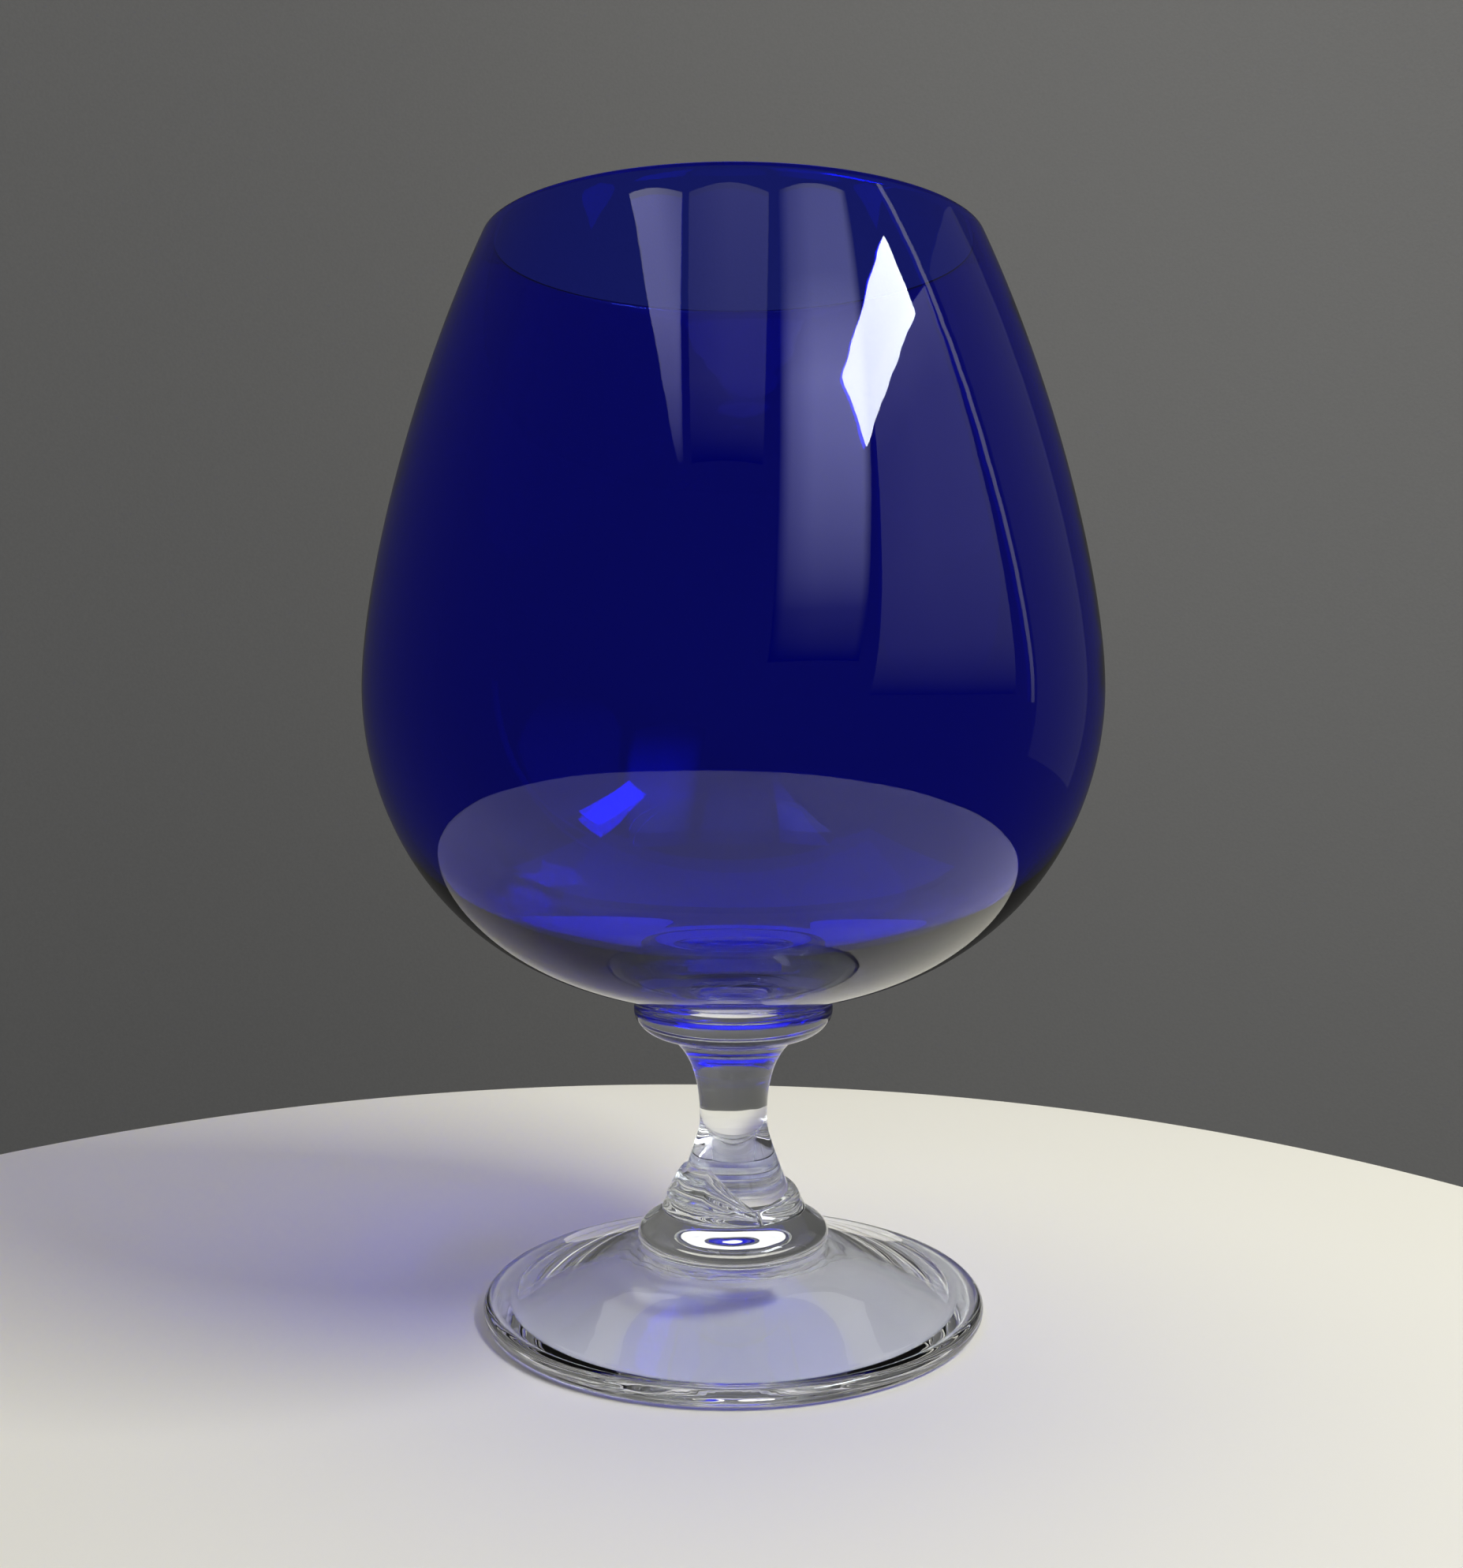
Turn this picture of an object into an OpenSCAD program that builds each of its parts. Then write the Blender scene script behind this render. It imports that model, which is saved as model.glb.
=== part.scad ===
// A large footed glass in the shape of a brandy snifter, 280 mm tall.
// Six gathers of hot glass are fused on one axis: a blown cobalt bowl, and in clear
// glass the merese under it, the drawn stem, a trail wrapped round the stem's base,
// the pad and the domed foot. The origin is the centre of the ring it stands on.

/* [Bowl] */
// Height of the rim above the merese
bowl_h = 196.9; // [160:0.1:240]
// Outer radius at the widest point
bowl_r = 95.8; // [78:0.1:120]
// Height of the widest point above the merese
belly_h = 81.2; // [65:0.1:100]
// Outer radius at the rim
rim_r = 65.2; // [54:0.1:78]
// Wall thickness of the blown glass
wall = 2.4; // [1.8:0.1:3.5]
// Thickness of the glass at the bottom of the bowl
bottom_wall = 8; // [6:0.1:11]
// How far in from the widest point the bottom starts to thicken
gather_in = 5.8; // [2:0.1:60]

/* [Merese] */
// Height of the merese, from the stem to the bowl
merese_h = 10.6; // [8:0.1:13]
// How far the merese's rounded edge stands out past the face fused to the bowl
merese_out = 2.5; // [0.5:0.1:8]
// Radius of the face fused to the bowl
seat_r = 24; // [19:0.1:30]

/* [Stem] */
// Length of the stem
stem_h = 43; // [34:0.1:54]
// Radius at the waist
waist_r = 9; // [7:0.1:11]
// Height of the waist above the stem's lower end
waist_h = 21; // [16:0.1:26]
// Radius at the upper end, where it meets the merese
stem_top_r = 17; // [14:0.1:20]
// Radius at the lower end, where it meets the pad
stem_base_r = 15.6; // [13:0.1:19]

/* [Trail] */
// Thickness of the wrapped strip
trail_t = 2.4; // [1.8:0.1:3.4]
// How far the strip reaches down over the pad
trail_drop = 3; // [2:0.1:4]
// Height that the strip's upper edge climbs in its turn
trail_climb = 6; // [4:0.1:8]
// Height that the sheared tip rises above the strip
tip_rise = 4.7; // [2:0.1:6]
// Distance that the tip stands away from the stem
tip_lean = 2; // [0:0.1:3]

/* [Pad] */
// Height of the pad
pad_h = 12.3; // [10:0.1:15]
// Radius at the widest point
pad_r = 25.5; // [22:0.1:31]
// Height of the rounding at its lower edge
pad_lip = 2.4; // [1.5:0.1:3.5]

/* [Foot] */
// Radius of the foot
foot_r = 66.4; // [55:0.1:80]
// Height of the crown, where the pad sits
foot_h = 17.2; // [14:0.1:21]
// Thickness of the rounded edge
foot_edge = 5.2; // [4:0.1:6.5]
// Width of the flat crown left bare round the pad
crown_bare = 1.9; // [0:0.1:7]
// Thickness of the glass over the hollow, at the crown
crown_t = 3.4; // [2.2:0.1:6.2]
// Width of the flat ring that it stands on
ring_w = 6.4; // [4:0.1:9]

/* [Hidden] */
$fn = 96;

CLEAR = [0.86, 0.92, 0.90, 0.45];
COBALT = [0.03, 0.05, 0.45, 0.75];

// Heights of the faces where one gather is fused to the next
pad_z = foot_h;
stem_z = pad_z + pad_h;
merese_z = stem_z + stem_h;
bowl_z = merese_z + merese_h;

// Sizes that follow what they meet
gather_r = bowl_r - gather_in;
merese_r = seat_r + merese_out;
crown_r = pad_r - pad_lip + crown_bare;
hollow_h = foot_h - crown_t;

CURVE_STEPS = 16; // points along each short curve
BOWL_STEPS = 28;  // points along each half of the bowl

// A point and the unit direction of a cubic curve with the control points p
function curve_point(p, t) =
    pow(1 - t, 3) * p[0] + 3 * pow(1 - t, 2) * t * p[1]
    + 3 * (1 - t) * t * t * p[2] + pow(t, 3) * p[3];
function curve_way(p, t) =
    let (d = pow(1 - t, 2) * (p[1] - p[0]) + 2 * (1 - t) * t * (p[2] - p[1])
             + t * t * (p[3] - p[2]))
    d / norm(d);
function curve(p, steps) = [for (i = [0:steps]) curve_point(p, i / steps)];
function reversed(list) = [for (i = [len(list) - 1:-1:0]) list[i]];
// An arc of an ellipse about c, from angle a to angle b
function oval(c, rx, rz, a, b, steps) =
    [for (i = [0:steps]) let (w = a + (b - a) * i / steps)
        c + [rx * cos(w), rz * sin(w)]];
function smooth(x) = let (t = min(max(x, 0), 1)) t * t * (3 - 2 * t);

// ---- bowl: the outer curve, and an inner one set in by the wall's thickness
BOTTOM_SLOPE = 9.9;      // degrees, where the bowl leaves the merese
BOTTOM_PULL = 0.75;      // how far the flat bottom reaches towards the belly
BELLY_PULL_LOW = 0.377;  // how upright the side stays below the belly
BELLY_PULL_HIGH = 0.216; // and above it
RIM_LEAN = 24.7;         // degrees that the side leans in at the rim
RIM_PULL = 0.387;        // how straight the side runs up to the rim
lip_r = wall / 2;
side_h = bowl_h - belly_h - lip_r * (1 - sin(RIM_LEAN));

bowl_low = let (reach = BOTTOM_PULL * (bowl_r - seat_r))
    [[seat_r, 0], [seat_r + reach, reach * tan(BOTTOM_SLOPE)],
     [bowl_r, belly_h * (1 - BELLY_PULL_LOW)], [bowl_r, belly_h]];
bowl_high = let (reach = RIM_PULL * side_h)
    [[bowl_r, belly_h], [bowl_r, belly_h + BELLY_PULL_HIGH * side_h],
     [rim_r + reach * sin(RIM_LEAN), belly_h + side_h - reach * cos(RIM_LEAN)],
     [rim_r, belly_h + side_h]];

function wall_at(r, z) = z > belly_h ? wall
    : wall + (bottom_wall - wall) * smooth((gather_r - r) / (gather_r - seat_r));
function inset(p, t) = let (q = curve_point(p, t), w = curve_way(p, t))
    q + wall_at(q[0], q[1]) * [-w[1], w[0]];

bowl_outside = concat(curve(bowl_low, BOWL_STEPS),
                      [for (i = [1:BOWL_STEPS]) curve_point(bowl_high, i / BOWL_STEPS)]);
bowl_inside = concat([for (i = [BOWL_STEPS:-1:0]) inset(bowl_high, i / BOWL_STEPS)],
                     [for (i = [BOWL_STEPS - 1:-1:0]) inset(bowl_low, i / BOWL_STEPS)]);
lip = oval(bowl_outside[2 * BOWL_STEPS] + lip_r * [-cos(RIM_LEAN), -sin(RIM_LEAN)],
           lip_r, lip_r, RIM_LEAN, 180 + RIM_LEAN, CURVE_STEPS);

module bowl() {
    color(COBALT) translate([0, 0, bowl_z]) rotate_extrude()
        polygon(concat([[0, 0]], bowl_outside,
                       [for (i = [1:CURVE_STEPS - 1]) lip[i]], bowl_inside,
                       [[0, bowl_inside[len(bowl_inside) - 1][1]]]));
}

// ---- merese: a round button, flat where it meets the stem and the bowl
EDGE_DROP = 0.26; // how far below the bowl its widest point is, as a share of its height
edge_z = merese_h * (1 - EDGE_DROP);
merese_core_r = stem_top_r - 1;

module merese() {
    color(CLEAR) translate([0, 0, merese_z]) rotate_extrude()
        polygon(concat([[0, 0]],
            oval([merese_core_r, edge_z], merese_r - merese_core_r, edge_z,
                 -90, 0, CURVE_STEPS),
            oval([seat_r, edge_z], merese_r - seat_r, merese_h - edge_z,
                 90 / CURVE_STEPS, 90, CURVE_STEPS - 1),
            [[0, merese_h]]));
}

// ---- stem: drawn out of a gather, so both ends flare from the waist
TOP_FLARE = [0.24, 0.16]; // shares of the length: where the upper flare starts and ends
TOP_TURN = 35;            // degrees from flat at the upper end
BASE_FLARE = 0.24;        // how soon the lower flare starts, of the height below the waist
BASE_TURN = 74;           // degrees from flat at the lower end
BASE_REACH = 0.27;        // length of the straight part at the lower end

stem_low = let (reach = BASE_REACH * waist_h)
    [[stem_base_r, 0], [stem_base_r - reach * cos(BASE_TURN), reach * sin(BASE_TURN)],
     [waist_r, waist_h * (1 - BASE_FLARE)], [waist_r, waist_h]];
stem_high = let (reach = TOP_FLARE[1] * (stem_h - waist_h) * 2)
    [[waist_r, waist_h], [waist_r, waist_h + TOP_FLARE[0] * 2 * (stem_h - waist_h)],
     [stem_top_r - reach * cos(TOP_TURN), stem_h - reach * sin(TOP_TURN)],
     [stem_top_r, stem_h]];
stem_side = concat(curve(stem_low, CURVE_STEPS),
                   [for (i = [1:CURVE_STEPS]) curve_point(stem_high, i / CURVE_STEPS)]);

module stem() {
    color(CLEAR) translate([0, 0, stem_z]) rotate_extrude()
        polygon(concat([[0, 0]], stem_side, [[0, stem_h]]));
}

// ---- pad: the bit of glass that joins the stem to the foot
PAD_NECK = 0.35;     // share of its height that follows on from the stem
PAD_SHOULDER = 0.55; // how square its shoulder is
pad_wide_z = pad_lip;
pad_base_r = pad_r - pad_lip;

pad_side = let (neck = PAD_NECK * pad_h)
    [[pad_r, pad_wide_z], [pad_r, pad_wide_z + PAD_SHOULDER * (pad_h - pad_wide_z)],
     [stem_base_r + neck / tan(BASE_TURN), pad_h - neck], [stem_base_r, pad_h]];
pad_outline = concat(oval([pad_base_r, pad_wide_z], pad_lip, pad_wide_z, -90, 0, CURVE_STEPS),
                     [for (i = [1:CURVE_STEPS]) curve_point(pad_side, i / CURVE_STEPS)]);

module pad() {
    color(CLEAR) translate([0, 0, pad_z]) rotate_extrude()
        polygon(concat([[0, 0]], pad_outline, [[0, pad_h]]));
}

// ---- trail: a strip laid round the joint of stem and pad, climbing as it goes. Its
// end was cut with shears, so the upper edge comes to a tip and runs down again.
TRAIL_START = -66;   // degrees about Z: just right of the front
TRAIL_TURN = 358;    // degrees that it goes round
TRAIL_CUT = 50;      // degrees over which the sheared edge runs down
TIP_FLAT = 36;       // degrees along the folded top of the tip
TIP_RUN = 30;        // degrees over which the upper edge rises to the tip
TIP_SLANT = 0.06;    // how far the folded top slopes, as a share of its height
TIP_SPREAD = 50;     // degrees either side of the tip's middle where it leans out
TRAIL_LAP = 0.3;     // depth that it has melted into the glass under it
TRAIL_RINGS = 72;
TRAIL_SIDES = 6;     // points up its outer face

// Radius of the glass under the trail at height z above the stem's lower end
core_table = concat([for (i = [len(pad_outline) - 1:-1:CURVE_STEPS])
                         [-(pad_h - pad_outline[i][1]), pad_outline[i][0]]],
                    [for (i = [1:CURVE_STEPS]) [stem_side[i][1], stem_side[i][0]]]);
function core_r(z) = lookup(z, core_table);

tip_turn = TRAIL_TURN - TRAIL_CUT - TIP_FLAT;
function trail_high(u) = let (turn = u * TRAIL_TURN, past = turn - tip_turn)
    past < 0
    ? trail_climb * pow(turn / tip_turn, 0.6) + tip_rise * smooth(1 + past / TIP_RUN)
    : (trail_climb + tip_rise)
      * (past < TIP_FLAT ? 1 - TIP_SLANT * past / TIP_FLAT
                         : (1 - TIP_SLANT) * (1 - (past - TIP_FLAT) / TRAIL_CUT));
function trail_thick(u) = trail_t * (0.35 + 0.65 * smooth(u * 8) * smooth((1 - u) * 8));
function trail_lean(u) = let (away = (u * TRAIL_TURN - tip_turn - TIP_FLAT / 2) / TIP_SPREAD)
    tip_lean * max(0, 1 - 2 * away * away);

function trail_ring(u) =
    let (low = -trail_drop, high = trail_high(u), mid = (low + high) / 2,
         half = (high - low) / 2, lean = trail_lean(u), thick = trail_thick(u))
    concat([for (i = [0:TRAIL_SIDES]) let (a = -90 + 180 * i / TRAIL_SIDES)
                [core_r(mid + half * sin(a)) + thick * pow(max(cos(a), 0), 0.6)
                 + lean * pow(max(sin(a), 0), 1.5), mid + half * sin(a)]],
           [for (i = [TRAIL_SIDES:-1:0]) let (a = -90 + 180 * i / TRAIL_SIDES)
                [core_r(mid + half * sin(a)) - TRAIL_LAP
                 + lean * 0.6 * pow(max(sin(a), 0), 1.5), mid + half * sin(a)]]);

module trail() {
    rings = TRAIL_RINGS;
    sides = 2 * (TRAIL_SIDES + 1);
    points = [for (k = [0:rings]) let (u = k / rings, a = TRAIL_START + TRAIL_TURN * u)
                 each [for (p = trail_ring(u)) [p[0] * cos(a), p[0] * sin(a), p[1]]]];
    walls = [for (k = [0:rings - 1]) for (i = [0:sides - 1])
                let (a = k * sides + i, b = k * sides + (i + 1) % sides)
                each [[a, b, b + sides], [a, b + sides, a + sides]]];
    color(CLEAR) translate([0, 0, stem_z])
        polyhedron(points, concat([[for (i = [sides - 1:-1:0]) i]], walls,
                                  [[for (i = [0:sides - 1]) rings * sides + i]]));
}

// ---- foot: a shallow dome with a thick rounded edge, hollow underneath
edge_r = foot_edge / 2;
ring_out_r = foot_r - edge_r;
ring_in_r = ring_out_r - ring_w;
CROWN_SLOPE = 17;  // degrees, where the dome leaves the crown
CROWN_PULL = 0.3;
BRIM_SLOPE = 12;   // degrees, where it reaches the edge
BRIM_PULL = 0.28;
HOLLOW_PULL = [0.45, 0.59, 0.72]; // the hollow's two handles: radius, then radius and height

dome = let (span = ring_out_r - crown_r)
    [[ring_out_r, foot_edge], [ring_out_r - BRIM_PULL * span,
                               foot_edge + BRIM_PULL * span * tan(BRIM_SLOPE)],
     [crown_r + CROWN_PULL * span, foot_h - CROWN_PULL * span * tan(CROWN_SLOPE)],
     [crown_r, foot_h]];
hollow = [[0, hollow_h], [HOLLOW_PULL[0] * ring_in_r, hollow_h],
          [HOLLOW_PULL[1] * ring_in_r, HOLLOW_PULL[2] * hollow_h], [ring_in_r, 0]];

module foot() {
    color(CLEAR) rotate_extrude()
        polygon(concat(curve(hollow, CURVE_STEPS),
            oval([ring_out_r, edge_r], edge_r, edge_r, -90, 90, CURVE_STEPS),
            [for (i = [1:CURVE_STEPS]) curve_point(dome, i / CURVE_STEPS)],
            [[0, foot_h]]));
}

foot();
pad();
trail();
stem();
merese();
bowl();
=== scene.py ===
import math

import bmesh
import bpy
from mathutils import Matrix, Vector


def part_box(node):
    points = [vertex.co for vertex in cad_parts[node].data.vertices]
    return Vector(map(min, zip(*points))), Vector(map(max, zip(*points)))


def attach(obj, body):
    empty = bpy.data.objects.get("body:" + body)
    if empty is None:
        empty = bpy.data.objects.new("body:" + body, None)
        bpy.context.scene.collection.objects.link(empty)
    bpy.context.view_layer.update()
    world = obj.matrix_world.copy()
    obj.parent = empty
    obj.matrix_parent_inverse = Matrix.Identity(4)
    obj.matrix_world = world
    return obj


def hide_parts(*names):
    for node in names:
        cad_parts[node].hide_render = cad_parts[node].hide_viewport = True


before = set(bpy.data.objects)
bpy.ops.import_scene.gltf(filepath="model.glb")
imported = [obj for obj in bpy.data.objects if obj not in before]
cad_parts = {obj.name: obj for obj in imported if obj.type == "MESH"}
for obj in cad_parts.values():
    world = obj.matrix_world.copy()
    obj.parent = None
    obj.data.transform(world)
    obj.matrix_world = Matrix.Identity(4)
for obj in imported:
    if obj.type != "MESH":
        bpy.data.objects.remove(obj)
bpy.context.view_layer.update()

# ---- Bowl -------------------------------------------------------------------------
# A gather of cobalt glass, blown to a round belly and drawn in towards the mouth. It
# is thin at the side, thick at the bottom where the iron held it, and its rim was cut
# and melted round in the flame.
MM = 0.001
GLASS_IOR = 1.52


def bezier(p, t):
    """A point of the cubic curve p, and its unit direction there."""
    s = 1 - t
    place = s**3 * p[0] + 3 * s * s * t * p[1] + 3 * s * t * t * p[2] + t**3 * p[3]
    way = s * s * (p[1] - p[0]) + 2 * s * t * (p[2] - p[1]) + t * t * (p[3] - p[2])
    return place, way.normalized()


def curve(p, steps):
    return [bezier(p, i / steps)[0] for i in range(steps + 1)]


def oval(centre, across, up, start, end, steps):
    """An arc of an ellipse from one angle to another, in degrees."""
    turns = [math.radians(start + (end - start) * i / steps) for i in range(steps + 1)]
    return [Vector((centre[0] + across * math.cos(a), centre[1] + up * math.sin(a)))
            for a in turns]


def smooth(x):
    x = min(max(x, 0), 1)
    return x * x * (3 - 2 * x)


def lathe_tree(name, joins=False):
    """Geometry Nodes that turn a half outline about Z. Where a piece joins the next one,
    its flat ends take a second finish, for glass that has melted together."""
    tree = bpy.data.node_groups.new(name, "GeometryNodeTree")
    face = tree.interface
    face.new_socket("Outline", in_out="INPUT", socket_type="NodeSocketGeometry")
    for label, kind, value in (("Points", "NodeSocketInt", 2), ("Slices", "NodeSocketInt", 64)):
        face.new_socket(label, in_out="INPUT", socket_type=kind).default_value = value
    face.new_socket("Glass", in_out="INPUT", socket_type="NodeSocketMaterial")
    if joins:
        for label in ("Fused Radius", "Fused Low", "Fused High"):
            face.new_socket(label, in_out="INPUT", socket_type="NodeSocketFloat")
        face.new_socket("Fused", in_out="INPUT", socket_type="NodeSocketMaterial")
    face.new_socket("Piece", in_out="OUTPUT", socket_type="NodeSocketGeometry")
    given = tree.nodes.new("NodeGroupInput")

    def add(kind, settings=None, values=None):
        node = tree.nodes.new(kind)
        for key, value in (settings or {}).items():
            setattr(node, key, value)
        for key, value in (values or {}).items():
            if isinstance(value, bpy.types.NodeSocket):
                tree.links.new(value, node.inputs[key])
            else:
                node.inputs[key].default_value = value
        return node

    def maths(operation, a, b=0.0):
        return add("ShaderNodeMath", {"operation": operation}, {0: a, 1: b}).outputs[0]

    points, slices = given.outputs["Points"], given.outputs["Slices"]
    sheet = add("GeometryNodeMeshGrid", None, {
        "Vertices X": maths("ADD", slices, 1), "Vertices Y": points})
    index = add("GeometryNodeInputIndex").outputs[0]
    along = maths("FLOORED_MODULO", index, points)
    turn = maths("MULTIPLY", maths("DIVIDE", maths("FLOOR", maths("DIVIDE", index, points)),
                                   slices), math.tau)
    sample = add("GeometryNodeSampleIndex", {"data_type": "FLOAT_VECTOR"}, {
        "Geometry": given.outputs["Outline"], "Index": along,
        "Value": add("GeometryNodeInputPosition").outputs[0]})
    reach = add("ShaderNodeSeparateXYZ", None, {0: sample.outputs[0]})
    place = add("ShaderNodeCombineXYZ", None, {
        0: maths("MULTIPLY", reach.outputs[0], maths("COSINE", turn)),
        1: maths("MULTIPLY", reach.outputs[0], maths("SINE", turn)),
        2: reach.outputs[2]})
    bent = add("GeometryNodeSetPosition", None, {
        "Geometry": sheet.outputs["Mesh"], "Position": place.outputs[0]})
    mapped = add("GeometryNodeStoreNamedAttribute",
                 {"data_type": "FLOAT2", "domain": "CORNER"},
                 {"Geometry": bent.outputs[0], "Name": "UVMap", "Value": sheet.outputs["UV Map"]})
    closed = add("GeometryNodeMergeByDistance", None, {
        "Geometry": mapped.outputs[0], "Distance": 2e-7})
    soft = add("GeometryNodeSetShadeSmooth", None, {
        "Geometry": closed.outputs[0], "Shade Smooth": True})
    real = add("GeometryNodeRealizeInstances", None, {"Geometry": soft.outputs[0]})
    piece = add("GeometryNodeSetMaterial", None, {
        "Geometry": real.outputs[0], "Material": given.outputs["Glass"]})
    if joins:
        spot = add("ShaderNodeSeparateXYZ", None, {0: add("GeometryNodeInputPosition").outputs[0]})
        out = maths("SQRT", maths("ADD", maths("POWER", spot.outputs[0], 2),
                                  maths("POWER", spot.outputs[1], 2)))
        inside = maths("LESS_THAN", out, given.outputs["Fused Radius"])
        at_end = maths("MAXIMUM", maths("LESS_THAN", spot.outputs[2], given.outputs["Fused Low"]),
                       maths("GREATER_THAN", spot.outputs[2], given.outputs["Fused High"]))
        flat = maths("MULTIPLY", inside, at_end)
        piece = add("GeometryNodeSetMaterial", None, {
            "Geometry": piece.outputs[0], "Selection": flat,
            "Material": given.outputs["Fused"]})
    shown = tree.nodes.new("NodeGroupOutput")
    tree.links.new(piece.outputs[0], shown.inputs[0])
    return tree


def lathe(name, outline, slices, glass, tree, **more):
    """A turned piece: its half outline in metres, low end first up the outer side."""
    line = bpy.data.meshes.new(name)
    line.from_pydata([(p[0], 0, p[1]) for p in outline],
                     [(i, i + 1) for i in range(len(outline) - 1)], [])
    maker = bpy.data.objects.new(name + "_outline", line)
    bpy.context.scene.collection.objects.link(maker)
    turning = maker.modifiers.new("lathe", "NODES")
    turning.node_group = tree
    sizes = {"Points": len(outline), "Slices": slices, "Glass": glass, **more}
    for item in tree.interface.items_tree:
        if item.in_out == "INPUT" and item.name in sizes:
            turning[item.identifier] = sizes[item.name]
    bpy.context.view_layer.update()
    evaluated = maker.evaluated_get(bpy.context.evaluated_depsgraph_get())
    mesh = bpy.data.meshes.new_from_object(evaluated)
    mesh.name = name
    bpy.data.objects.remove(maker)
    piece = bpy.data.objects.new(name, mesh)
    bpy.context.scene.collection.objects.link(piece)
    return piece


class Value:
    """One output of a finish's nodes. Sums written with it become Math nodes."""

    def __init__(self, finish, socket):
        self.finish, self.socket = finish, socket

    def _with(self, other, operation, other_first=False):
        first, second = (other, self) if other_first else (self, other)
        return self.finish.node(
            "ShaderNodeMath", {"operation": operation}, {0: first, 1: second})

    def __add__(self, other): return self._with(other, "ADD")
    def __radd__(self, other): return self._with(other, "ADD", True)
    def __mul__(self, other): return self._with(other, "MULTIPLY")
    def __rmul__(self, other): return self._with(other, "MULTIPLY", True)
    def __pow__(self, other): return self._with(other, "POWER")


class Finish:
    """A material, built from nodes one call at a time."""

    def __init__(self, name):
        self.material = bpy.data.materials.new(name)
        self.material.use_nodes = True
        self.tree = self.material.node_tree
        self.tree.nodes.clear()

    def node(self, kind, settings=None, values=None, output=0):
        made = self.tree.nodes.new(kind)
        for key, value in (settings or {}).items():
            if key == "stops":
                ramp = made.color_ramp
                for at, shade in value[1:-1]:
                    ramp.elements.new(at).color = shade
                ramp.elements[0].position, ramp.elements[0].color = value[0]
                ramp.elements[-1].position, ramp.elements[-1].color = value[-1]
            else:
                setattr(made, key, value)
        for key, value in (values or {}).items():
            if isinstance(value, Value):
                self.tree.links.new(value.socket, made.inputs[key])
            else:
                made.inputs[key].default_value = value
        return Value(self, made.outputs[output])

    def mix(self, share, a, b):
        """One colour run into another."""
        return self.node("ShaderNodeMix", {"data_type": "RGBA"}, {0: share, 6: a, 7: b}, output=2)

    def close(self, surface, volume=None):
        end = self.tree.nodes.new("ShaderNodeOutputMaterial")
        self.tree.links.new(surface.socket, end.inputs["Surface"])
        if volume:
            self.tree.links.new(volume.socket, end.inputs["Volume"])
        return self.material


cobalt = Finish("cobalt_blown_glass")
where = cobalt.node("ShaderNodeTexCoord", output=3)
sway = cobalt.node("ShaderNodeTexNoise", None, {
    "Vector": cobalt.node("ShaderNodeMapping", None, {"Vector": where, "Scale": (1, 1, 0.55)}),
    "Scale": 16.0, "Detail": 1.0, "Roughness": 0.4})
turned = cobalt.node("ShaderNodeTexNoise", None, {
    "Vector": cobalt.node("ShaderNodeMapping", None, {"Vector": where, "Scale": (1, 1, 5)}),
    "Scale": 9.0, "Detail": 2.0, "Roughness": 0.5})
breath = cobalt.node("ShaderNodeTexNoise", None, {"Vector": where, "Scale": 38.0, "Detail": 4.0})
cobalt_glass = cobalt.close(
    cobalt.node("ShaderNodeBsdfPrincipled", None, {
        "Base Color": (1, 1, 1, 1), "Transmission Weight": 1.0, "IOR": GLASS_IOR,
        "Roughness": 0.002 + 0.012 * breath ** 3,
        "Normal": cobalt.node("ShaderNodeBump", None, {
            "Strength": 0.35, "Distance": 0.0008, "Height": sway + 0.35 * turned})}),
    cobalt.node("ShaderNodeVolumeAbsorption", None, {
        "Color": (0.0, 0.16, 0.985, 1), "Density": 1200.0}))

bowl_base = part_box("bowl")[0].z
BOWL_H, BOWL_R, BELLY_H, RIM_R = 196.9 * MM, 95.8 * MM, 81.2 * MM, 65.2 * MM
WALL, BOTTOM_WALL, GATHER_R, SEAT_R = 2.4 * MM, 8 * MM, 90 * MM, 24 * MM
BOTTOM_SLOPE, RIM_LEAN = math.radians(9.9), math.radians(24.7)
LIP_R = WALL / 2
side_h = BOWL_H - BELLY_H - LIP_R * (1 - math.sin(RIM_LEAN))

low_reach, rim_reach = 0.75 * (BOWL_R - SEAT_R), 0.387 * side_h
bowl_low = [Vector(p) for p in (
    (SEAT_R, 0), (SEAT_R + low_reach, low_reach * math.tan(BOTTOM_SLOPE)),
    (BOWL_R, BELLY_H * (1 - 0.377)), (BOWL_R, BELLY_H))]
bowl_high = [Vector(p) for p in (
    (BOWL_R, BELLY_H), (BOWL_R, BELLY_H + 0.216 * side_h),
    (RIM_R + rim_reach * math.sin(RIM_LEAN), BELLY_H + side_h - rim_reach * math.cos(RIM_LEAN)),
    (RIM_R, BELLY_H + side_h))]


def inner_wall(part, t):
    """The point of the inner wall across from the outer curve at t."""
    place, way = bezier(part, t)
    thick = WALL
    if place.y < BELLY_H:
        thick += (BOTTOM_WALL - WALL) * smooth((GATHER_R - place.x) / (GATHER_R - SEAT_R))
    return place + thick * Vector((-way.y, way.x))


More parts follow.
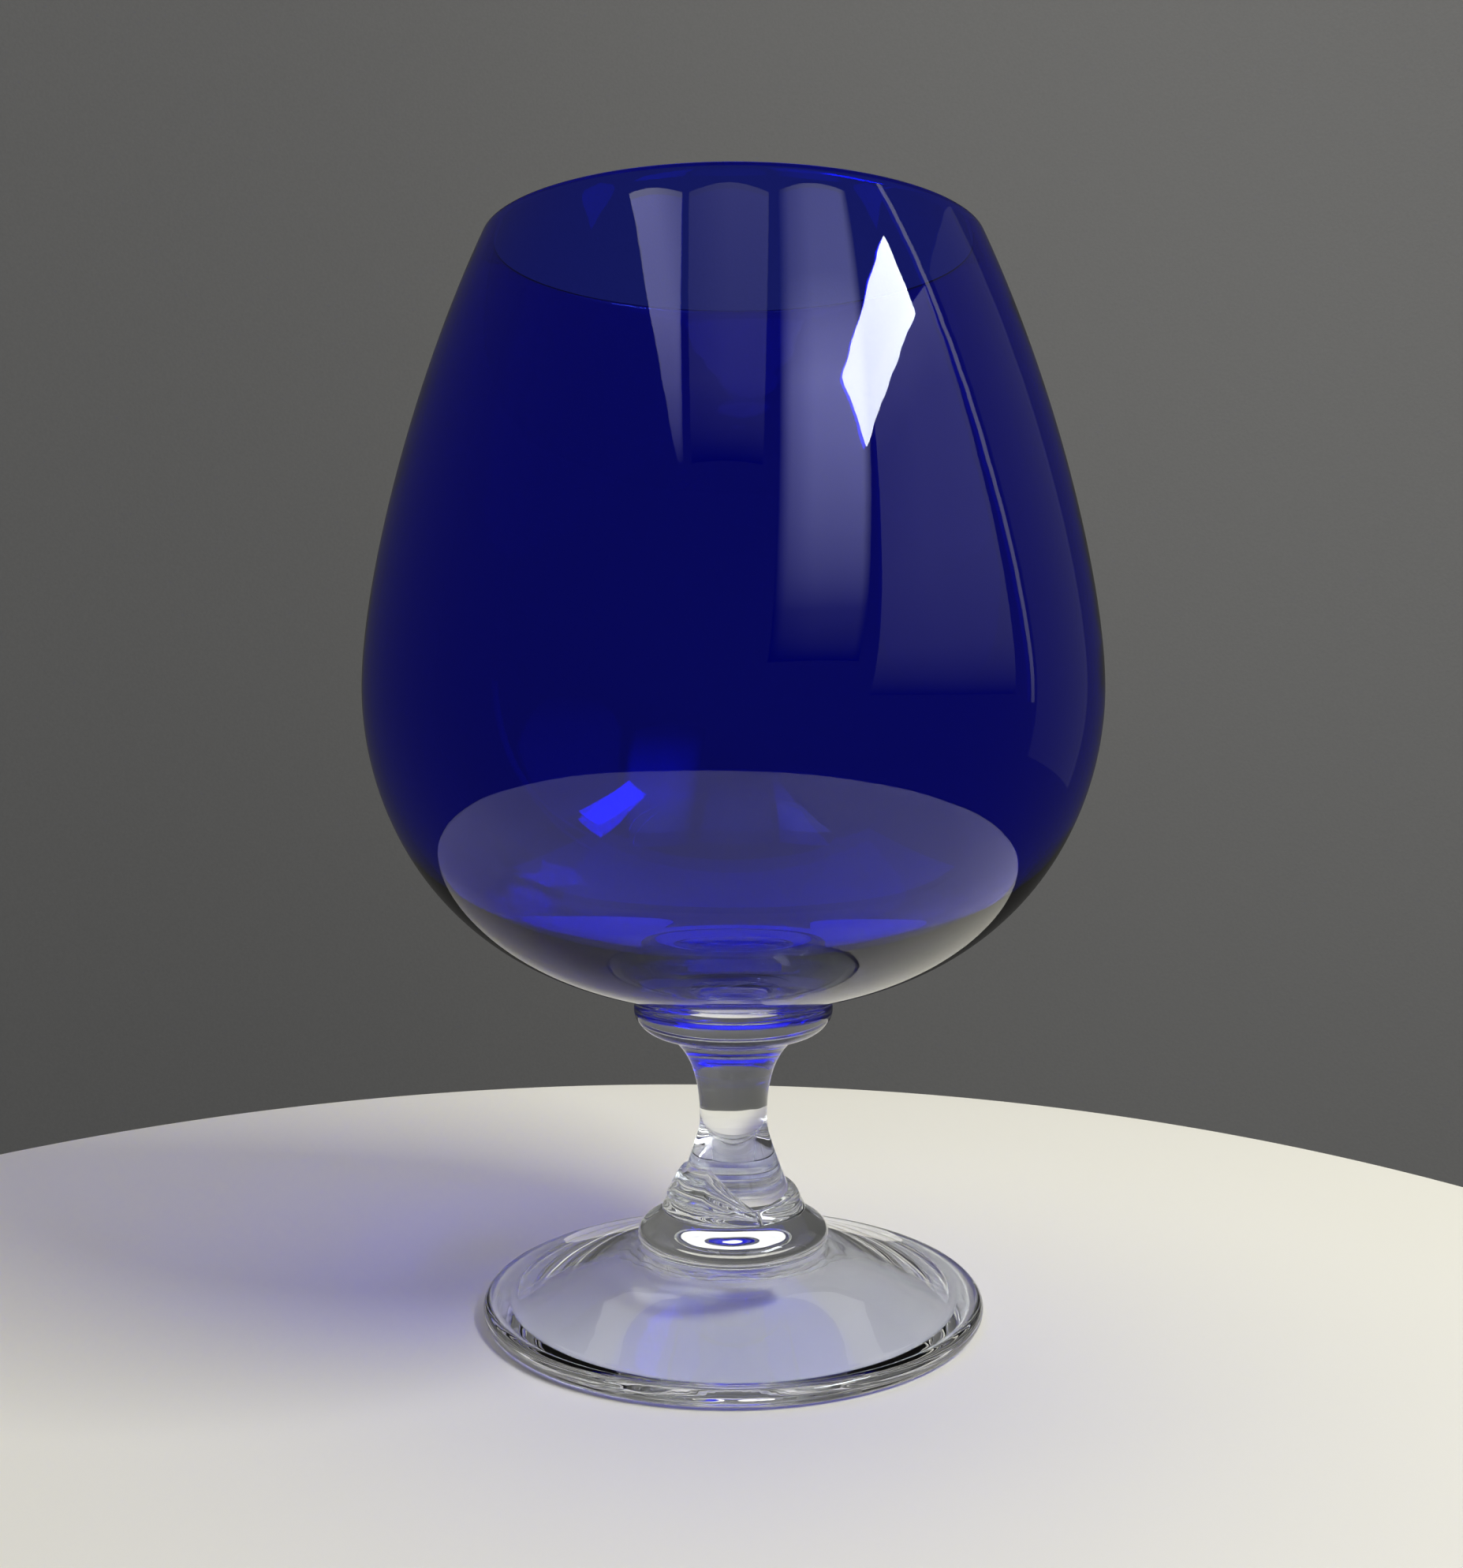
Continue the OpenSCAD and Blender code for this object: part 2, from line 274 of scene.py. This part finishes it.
STEPS, WIDE_SLICES, SLICES = 56, 192, 144
seat = [Vector((SEAT_R * i / 8, 0)) for i in range(8)]
outside = curve(bowl_low, STEPS) + curve(bowl_high, STEPS)[1:]
lip = oval(outside[-1] - LIP_R * Vector((math.cos(RIM_LEAN), math.sin(RIM_LEAN))),
           LIP_R, LIP_R, math.degrees(RIM_LEAN), 180 + math.degrees(RIM_LEAN), 20)
inside = ([inner_wall(bowl_high, 1 - i / STEPS) for i in range(STEPS + 1)]
          + [inner_wall(bowl_low, 1 - i / STEPS) for i in range(1, STEPS + 1)])
floor_end = inside[-1]
inside += [Vector((floor_end.x * (1 - i / 10), floor_end.y)) for i in range(1, 11)]
bowl_outline = [p + Vector((0, bowl_base)) for p in seat + outside + lip[1:-1] + inside]

turn_round = lathe_tree("turn_a_half_outline")
bowl = lathe("bowl", bowl_outline, WIDE_SLICES, cobalt_glass, turn_round)
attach(bowl, "glass")
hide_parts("bowl")

# ---- Merese -----------------------------------------------------------------------
# A button of clear glass pressed flat between the bowl and the stem while it was hot.
# It has melted into both, so only its rounded edge shows as a surface of its own.
clear = Finish("clear_worked_glass")
where = clear.node("ShaderNodeTexCoord", output=3)
cords = clear.node("ShaderNodeTexNoise", None, {
    "Vector": clear.node("ShaderNodeMapping", None, {"Vector": where, "Scale": (1, 1, 2.5)}),
    "Scale": 42.0, "Detail": 2.0, "Roughness": 0.45, "Distortion": 0.4})
breath = clear.node("ShaderNodeTexNoise", None, {"Vector": where, "Scale": 55.0, "Detail": 4.0})
clear_glass = clear.close(clear.node("ShaderNodeBsdfPrincipled", None, {
    "Base Color": (0.978, 0.992, 0.986, 1), "Transmission Weight": 1.0, "IOR": GLASS_IOR,
    "Roughness": 0.002 + 0.014 * breath ** 3,
    "Normal": clear.node("ShaderNodeBump", None, {
        "Strength": 0.3, "Distance": 0.0004, "Height": cords})}))

joined = Finish("melted_joint")
where = joined.node("ShaderNodeTexCoord", output=3)
melted = joined.close(joined.node("ShaderNodeBsdfPrincipled", None, {
    "Base Color": joined.mix(
        joined.node("ShaderNodeTexNoise", None, {"Vector": where, "Scale": 40.0}),
        (0.96, 0.98, 0.97, 1), (0.98, 0.99, 0.985, 1)),
    "Alpha": 0.0, "Roughness": 0.0}))

merese_base, merese_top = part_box("merese")[0].z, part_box("merese")[1].z
MERESE_R, STEM_TOP_R = 26.5 * MM, 17 * MM
MERESE_CORE_R = STEM_TOP_R - 1 * MM
merese_h = merese_top - merese_base
edge_z = merese_h * (1 - 0.26)
OVERLAP = 0.03 * MM  # how deep the two glasses run into each other at the bowl's seat
SKIM = 0.001 * MM  # how far inside its own height a flat end is looked for
BEYOND = 1.0  # metres, further out than any piece reaches


def end_disc(radius, z, steps=6, outward=True):
    """Points along a flat end, from the axis outwards or back to it."""
    line = [Vector((radius * i / steps, z)) for i in range(steps)]
    return line if outward else line[::-1]


merese_outline = (
    end_disc(MERESE_CORE_R, 0)
    + oval((MERESE_CORE_R, edge_z), MERESE_R - MERESE_CORE_R, edge_z, -90, 0, 28)
    + oval((SEAT_R, edge_z), MERESE_R - SEAT_R, merese_h + OVERLAP - edge_z, 0, 90, 14)[1:]
    + end_disc(SEAT_R, merese_h + OVERLAP, outward=False))
turn_and_join = lathe_tree("turn_and_join", joins=True)
merese = lathe("merese", [p + Vector((0, merese_base)) for p in merese_outline], SLICES,
               clear_glass, turn_and_join, Fused=melted,
               **{"Fused Radius": MERESE_CORE_R, "Fused Low": merese_base + SKIM,
                  "Fused High": BEYOND})
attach(merese, "glass")
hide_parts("merese")

# ---- Stem -------------------------------------------------------------------------
# Drawn down out of a gather of clear glass, so it is narrowest at the waist and runs
# out wide at both ends. It is solid, and works as a lens for whatever is behind it.
stem_base, stem_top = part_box("stem")[0].z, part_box("stem")[1].z
STEM_BASE_R, WAIST_R, WAIST_H = 15.6 * MM, 9 * MM, 21 * MM
BASE_TURN, TOP_TURN = math.radians(74), math.radians(35)
stem_h = stem_top - stem_base
base_reach, top_reach = 0.27 * WAIST_H, 0.16 * 2 * (stem_h - WAIST_H)
stem_low = [Vector(p) for p in (
    (STEM_BASE_R, 0),
    (STEM_BASE_R - base_reach * math.cos(BASE_TURN), base_reach * math.sin(BASE_TURN)),
    (WAIST_R, WAIST_H * (1 - 0.24)), (WAIST_R, WAIST_H))]
stem_high = [Vector(p) for p in (
    (WAIST_R, WAIST_H), (WAIST_R, WAIST_H + 0.24 * 2 * (stem_h - WAIST_H)),
    (STEM_TOP_R - top_reach * math.cos(TOP_TURN), stem_h - top_reach * math.sin(TOP_TURN)),
    (STEM_TOP_R, stem_h))]
stem_side = curve(stem_low, 40) + curve(stem_high, 40)[1:]
stem_outline = (end_disc(STEM_BASE_R, 0) + stem_side
                + end_disc(STEM_TOP_R, stem_h, outward=False))
stem = lathe("stem", [p + Vector((0, stem_base)) for p in stem_outline], SLICES,
             clear_glass, turn_and_join, Fused=melted,
             **{"Fused Radius": STEM_TOP_R, "Fused Low": stem_base + SKIM,
                "Fused High": stem_top - SKIM})
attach(stem, "glass")
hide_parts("stem")

# ---- Pad --------------------------------------------------------------------------
# The bit of glass that was dropped on the foot to take the stem. Its shoulder is full
# and round, and it is tucked in where it stands on the foot.
pad_base, pad_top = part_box("pad")[0].z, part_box("pad")[1].z
PAD_R, PAD_LIP = 25.5 * MM, 2.4 * MM
pad_h = pad_top - pad_base
neck = 0.35 * pad_h
pad_side = [Vector(p) for p in (
    (PAD_R, PAD_LIP), (PAD_R, PAD_LIP + 0.55 * (pad_h - PAD_LIP)),
    (STEM_BASE_R + neck / math.tan(BASE_TURN), pad_h - neck), (STEM_BASE_R, pad_h))]
pad_rise = curve(pad_side, 36)
pad_outline = (end_disc(PAD_R - PAD_LIP, 0)
               + oval((PAD_R - PAD_LIP, PAD_LIP), PAD_LIP, PAD_LIP, -90, 0, 20) + pad_rise[1:]
               + end_disc(STEM_BASE_R, pad_h, outward=False))
pad = lathe("pad", [p + Vector((0, pad_base)) for p in pad_outline], SLICES,
            clear_glass, turn_and_join, Fused=melted,
            **{"Fused Radius": PAD_R - PAD_LIP, "Fused Low": pad_base + SKIM,
               "Fused High": pad_top - SKIM})
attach(pad, "glass")
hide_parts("pad")

# ---- Trail ------------------------------------------------------------------------
# A hot strip laid round the joint of stem and pad in one turn that climbs as it goes.
# The shears cut it off at an angle: the end folded over into a standing tip.
TRAIL_T, TRAIL_DROP, TRAIL_CLIMB = 2.4 * MM, 3 * MM, 6 * MM
TIP_RISE, TIP_LEAN, TRAIL_LAP = 4.7 * MM, 2 * MM, 0.3 * MM
TRAIL_START, TRAIL_TURN, TRAIL_CUT, TIP_FLAT = -66, 358, 50, 36
TIP_RUN, TIP_SLANT, TIP_SPREAD = 30, 0.06, 50
FOLD_DEPTH, FOLD_TURNS, FOLD_START, FOLD_RUN = 0.4 * MM, 2.6, 225, 45
THIN_END, TAPER = 0.35, 8
tip_turn = TRAIL_TURN - TRAIL_CUT - TIP_FLAT
core = sorted([(p.y - pad_h, p.x) for p in pad_rise] + [(p.y, p.x) for p in stem_side[1:]])


def core_radius(z):
    """Radius of the glass under the trail, z above the lower end of the stem."""
    for (z0, r0), (z1, r1) in zip(core, core[1:]):
        if z <= z1:
            return r0 + (r1 - r0) * (z - z0) / (z1 - z0)
    return core[-1][1]


def trail_high(turn):
    past = turn - tip_turn
    if past < 0:
        return (TRAIL_CLIMB * (max(turn, 0) / tip_turn) ** 0.6
                + TIP_RISE * smooth(1 + past / TIP_RUN))
    if past < TIP_FLAT:
        return (TRAIL_CLIMB + TIP_RISE) * (1 - TIP_SLANT * past / TIP_FLAT)
    return (TRAIL_CLIMB + TIP_RISE) * (1 - TIP_SLANT) * (1 - (past - TIP_FLAT) / TRAIL_CUT)


RINGS, UP = 300, 34
trail_mesh = bmesh.new()
rings = []
for k in range(RINGS + 1):
    share = k / RINGS
    turn = share * TRAIL_TURN
    a = math.radians(TRAIL_START + turn)
    low, high = -TRAIL_DROP, trail_high(turn)
    mid, half = (low + high) / 2, (high - low) / 2
    thick = TRAIL_T * (THIN_END + (1 - THIN_END) * smooth(share * TAPER)
                       * smooth((1 - share) * TAPER))
    lean = TIP_LEAN * max(0, 1 - 2 * ((turn - tip_turn - TIP_FLAT / 2) / TIP_SPREAD) ** 2)
    folds = FOLD_DEPTH * smooth((turn - FOLD_START) / FOLD_RUN)
    ring = []
    for i in range(UP + 1):
        w = math.radians(-90 + 180 * i / UP)
        z = mid + half * math.sin(w)
        across = (math.sin(w) + 1) / 2
        r = (core_radius(z) + thick * max(math.cos(w), 0) ** 0.6
             + lean * max(math.sin(w), 0) ** 1.5
             + folds * max(math.cos(w), 0) * math.sin(2 * math.pi * FOLD_TURNS * across))
        ring.append((r, z))
    for i in range(UP, -1, -1):
        w = math.radians(-90 + 180 * i / UP)
        z = mid + half * math.sin(w)
        ring.append((core_radius(z) - TRAIL_LAP + 0.6 * lean * max(math.sin(w), 0) ** 1.5, z))
    rings.append([trail_mesh.verts.new((r * math.cos(a), r * math.sin(a), stem_base + z))
                  for r, z in ring])
count = len(rings[0])
for one, two in zip(rings, rings[1:]):
    for i in range(count):
        j = (i + 1) % count
        trail_mesh.faces.new((one[i], two[i], two[j], one[j]))
trail_mesh.faces.new(rings[0])
trail_mesh.faces.new(rings[-1][::-1])
bmesh.ops.remove_doubles(trail_mesh, verts=trail_mesh.verts, dist=1e-7)
bmesh.ops.recalc_face_normals(trail_mesh, faces=trail_mesh.faces)
for f in trail_mesh.faces:
    f.smooth = True
strip = bpy.data.meshes.new("trail")
trail_mesh.to_mesh(strip)
trail_mesh.free()
strip.materials.append(clear_glass)
trail = bpy.data.objects.new("trail", strip)
bpy.context.scene.collection.objects.link(trail)
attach(trail, "glass")
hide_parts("trail")

# ---- Foot -------------------------------------------------------------------------
# A gather opened out and shaped into a shallow dome with a thick round edge. It is
# hollow underneath, and the whole glass stands on a narrow ring of it.
foot_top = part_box("foot")[1].z
FOOT_R, FOOT_EDGE, CROWN_R, HOLLOW_H, RING_W = 66.4 * MM, 5.2 * MM, 25 * MM, 13.8 * MM, 6.4 * MM
CROWN_SLOPE, BRIM_SLOPE = math.radians(17), math.radians(12)
edge_r = FOOT_EDGE / 2
ring_out, ring_in = FOOT_R - edge_r, FOOT_R - edge_r - RING_W
span = ring_out - CROWN_R
dome = [Vector(p) for p in (
    (ring_out, FOOT_EDGE),
    (ring_out - 0.28 * span, FOOT_EDGE + 0.28 * span * math.tan(BRIM_SLOPE)),
    (CROWN_R + 0.3 * span, foot_top - 0.3 * span * math.tan(CROWN_SLOPE)), (CROWN_R, foot_top))]
hollow = [Vector(p) for p in (
    (0, HOLLOW_H), (0.45 * ring_in, HOLLOW_H), (0.59 * ring_in, 0.72 * HOLLOW_H), (ring_in, 0))]
foot_outline = (
    curve(hollow, 48) + [Vector((ring_in + RING_W * i / 6, 0)) for i in range(1, 6)]
    + oval((ring_out, edge_r), edge_r, edge_r, -90, 90, 32) + curve(dome, 48)[1:]
    + [Vector((PAD_R - PAD_LIP, foot_top))]
    + end_disc(PAD_R - PAD_LIP, foot_top, outward=False))
foot = lathe("foot", foot_outline, WIDE_SLICES, clear_glass, turn_and_join, Fused=melted,
             **{"Fused Radius": PAD_R - PAD_LIP, "Fused Low": -BEYOND,
                "Fused High": foot_top - SKIM})
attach(foot, "glass")
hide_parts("foot")

# ---- Table and backdrop -----------------------------------------------------------
# A round pale table top for the glass to stand on, and a grey cloth hung in a ring far behind
# it, its colour painted lighter towards the right as painted light from the window side.
pale = Finish("pale_table")
where = pale.node("ShaderNodeTexCoord", output=3)
grain = pale.node("ShaderNodeTexNoise", None, {"Vector": where, "Scale": 900.0, "Detail": 3.0})
cloudy = pale.node("ShaderNodeTexNoise", None, {"Vector": where, "Scale": 6.0, "Detail": 3.0})
pale_table = pale.close(pale.node("ShaderNodeBsdfPrincipled", None, {
    "Base Color": pale.mix(cloudy, (0.82, 0.795, 0.70, 1), (0.85, 0.825, 0.735, 1)),
    "Roughness": 0.55, "Specular IOR Level": 0.3,
    "Normal": pale.node("ShaderNodeBump", None, {
        "Strength": 0.15, "Distance": 0.0001, "Height": grain})}))
TABLE_R, TABLE_T, TABLE_EDGE = 0.3232, 0.024, 0.004
TABLE_X, TABLE_Y = -0.0245, -0.0668
TABLE_GAP = 0.00015  # keeps the table top and the foot's ring out of one plane
flat_r = TABLE_R - TABLE_EDGE
table_outline = (end_disc(flat_r, -TABLE_T, 20)
                 + oval((flat_r, -TABLE_EDGE), TABLE_EDGE, TABLE_EDGE, 0, 90, 8)
                 + end_disc(flat_r, 0, 20, outward=False))
table = lathe("table", table_outline, 256, pale_table, turn_round)
table.location = (TABLE_X, TABLE_Y, -TABLE_GAP)

grey = Finish("grey_backdrop")
where = grey.node("ShaderNodeTexCoord", output=3)
weave = grey.node("ShaderNodeTexNoise", None, {"Vector": where, "Scale": 300.0, "Detail": 3.0})
# Painted light: the cloth's colour runs from darker at the left to lighter at the right, standing
# in for the light that falls on it from the right. The weave is the cloth's own texture.
painted_side_light = grey.node("ShaderNodeMapRange", {"interpolation_type": "SMOOTHSTEP"}, {
    0: grey.node("ShaderNodeSeparateXYZ", None, {0: where}, output=0), 1: -1.0, 2: 1.0})
backdrop_grey = grey.close(grey.node("ShaderNodeBsdfPrincipled", None, {
    "Base Color": grey.mix(0.75 * painted_side_light + 0.25 * weave,
                           (0.175, 0.175, 0.175, 1), (0.30, 0.298, 0.296, 1)),
    "Roughness": 0.9, "Specular IOR Level": 0.1,
    "Normal": grey.node("ShaderNodeBump", None, {
        "Strength": 0.2, "Distance": 0.001, "Height": weave})}))
BACKDROP_R, BACKDROP_TOP, FLOOR_Z, SWEEP = 1.7, 1.25, -0.62, 0.12
backdrop = lathe("backdrop", [Vector(p) for p in (
    (BACKDROP_R, BACKDROP_TOP), (BACKDROP_R, FLOOR_Z + SWEEP),
    (BACKDROP_R - SWEEP / 4, FLOOR_Z + SWEEP / 4), (BACKDROP_R - SWEEP, FLOOR_Z),
    (0, FLOOR_Z))], 128, backdrop_grey, turn_round)
backdrop.visible_glossy = False

# ---- Light ------------------------------------------------------------------------
# A window-like softbox high on the right. A second one in the same place and a wide
# one overhead only light the scene: the glass doesn't mirror them. Glowing cards draw
# the long pale reflections down the front of the bowl.
studio = bpy.data.worlds.new("studio")
bpy.context.scene.world = studio
studio.use_nodes = True
surround = studio.node_tree.nodes["Background"]
surround.inputs["Color"].default_value = (1.0, 0.985, 0.95, 1)
surround.inputs["Strength"].default_value = 0.05
GLASS_MIDDLE = Vector((0, 0, 0.15))


def softbox(name, corner, across, up, radiance, colour):
    """An area light over the rectangle that starts at corner, turned to the glass."""
    corner, across, up = Vector(corner), Vector(across), Vector(up)
    lamp = bpy.data.lights.new(name, "AREA")
    lamp.shape = "RECTANGLE"
    lamp.size, lamp.size_y = across.length, up.length
    lamp.energy = 4 * radiance * lamp.size * lamp.size_y
    lamp.color = colour
    rig = bpy.data.objects.new(name, lamp)
    bpy.context.scene.collection.objects.link(rig)
    centre = corner + across / 2 + up / 2
    x = across.normalized()
    z = x.cross(up).normalized()
    if z.dot(centre - GLASS_MIDDLE) < 0:
        z = -z
    y = z.cross(x)
    rig.matrix_world = Matrix.Translation(centre) @ Matrix((x, y, z)).transposed().to_4x4()
    rig.visible_camera = False
    return rig


WINDOW = (0.752, -0.794, 1.183), (0.192, 0.648, 0.147), (0.09, -0.1, -0.16)
SKY = (-1.5, -0.3, 2.1), (3.0, 0, 0), (0, 2.6, 0)
softbox("window", *WINDOW, 14.0, (0.92, 0.97, 1.0))
window_fill = softbox("window_fill", *WINDOW, 21.0, (1.0, 0.99, 0.95))
overhead = softbox("overhead", *SKY, 0.95, (1.0, 0.985, 0.94))
window_fill.visible_glossy = overhead.visible_glossy = False


def card(name, corners, rise, sweep=((0.0, 1.0), (1.0, 1.0)), colour=(1, 1, 1, 1)):
    """A glowing card with its corners from low left round to high left. Its brightness
    goes by two runs of stops: up its height, and from left to right."""
    sheet = bpy.data.meshes.new(name)
    sheet.from_pydata([Vector(c) for c in corners], [], [(0, 1, 2, 3)])
    sheet.uv_layers.new(name="UVMap")
    for corner, uv in zip(sheet.uv_layers[0].data, ((0, 0), (1, 0), (1, 1), (0, 1))):
        corner.uv = uv
    glow = Finish(name)
    where = glow.node("ShaderNodeTexCoord", output=2)

    def run(stops, side):
        return glow.node("ShaderNodeValToRGB", {
            "stops": [(at, (s, s, s, 1)) for at, s in stops]},
            {0: glow.node("ShaderNodeSeparateXYZ", None, {0: where}, output=side)})

    sheet.materials.append(glow.close(glow.node("ShaderNodeEmission", None, {
        "Color": colour, "Strength": run(rise, 1) * run(sweep, 0)})))
    made = bpy.data.objects.new(name, sheet)
    bpy.context.scene.collection.objects.link(made)
    made.visible_camera = made.visible_diffuse = made.visible_shadow = False


card("bright_column",
     ((0.3, -1.86, 0.4), (1.09, -1.54, 0.4), (0.92, -0.38, 1.77), (0.39, -0.74, 1.85)),
     ((0.0, 0.0), (0.2, 0.3), (0.34, 1.3), (0.5, 2.3), (0.62, 3.1), (0.72, 2.2),
      (0.8, 1.4), (1.0, 1.2)),
     ((0.0, 0.0), (0.16, 0.6), (0.45, 1.0), (0.92, 1.0), (1.0, 0.2)), (0.95, 0.97, 1, 1))
card("dim_column",
     ((-0.36, -1.5, 1.26), (0.26, -1.52, 1.26), (0.32, -0.77, 1.86), (-0.39, -0.74, 1.85)),
     ((0.0, 0.0), (0.3, 0.4), (1.0, 0.6)), ((0.0, 0.6), (0.5, 1.0), (1.0, 1.0)))
card("left_band",
     ((-0.48, -1.47, 1.26), (-0.43, -1.48, 1.26), (-0.45, -0.72, 1.85), (-0.87, -0.43, 1.78)),
     ((0.0, 0.1), (0.25, 1.1), (0.5, 1.9), (1.0, 2.0)), ((0.0, 1.0), (0.4, 1.0), (1.0, 0.55)))
card("right_card",
     ((1.17, -1.48, 0.11), (1.89, -0.07, 0.14), (1.42, 0.0, 1.49), (1.12, -0.87, 1.4)),
     ((0.0, 0.02), (0.25, 0.35), (0.5, 0.5), (0.8, 0.55), (1.0, 0.9)),
     ((0.0, 0.8), (0.5, 1.0), (1.0, 0.9)))
card("edge_line", ((1.5, 0.12, 0.1), (1.5, 0.16, 0.1), (0.98, 0.0, 1.55), (0.98, -0.04, 1.55)),
     ((0.0, 0.4), (0.3, 0.8), (1.0, 1.3)))
card("side_card", ((1.5, 0.2, -0.2), (1.2, 0.95, -0.2), (1.1, 0.95, 1.3), (1.2, 0.1, 1.3)),
     ((0.0, 0.1), (1.0, 0.14)))

# ---- Camera -----------------------------------------------------------------------
# In front of the glass and a little above its middle, looking very slightly down.
lens = bpy.data.cameras.new("camera")
lens.lens, lens.sensor_width = 36.01, 36.0
camera = bpy.data.objects.new("camera", lens)
bpy.context.scene.collection.objects.link(camera)
CAMERA_BACK, CAMERA_H, LOOK_DOWN, LOOK_LEFT = 0.4158, 0.1573, 2.406, 0.067
camera.location = (0, -CAMERA_BACK, CAMERA_H)
camera.rotation_euler = (math.radians(90 - LOOK_DOWN), 0, math.radians(LOOK_LEFT))
bpy.context.scene.camera = camera

scene = bpy.context.scene
scene.view_settings.view_transform = "Standard"
scene.cycles.max_bounces = 28
scene.cycles.transmission_bounces = 28
scene.cycles.glossy_bounces = 12
scene.cycles.transparent_max_bounces = 24
scene.cycles.sample_clamp_indirect = 60.0
scene.cycles.blur_glossy = 0.0
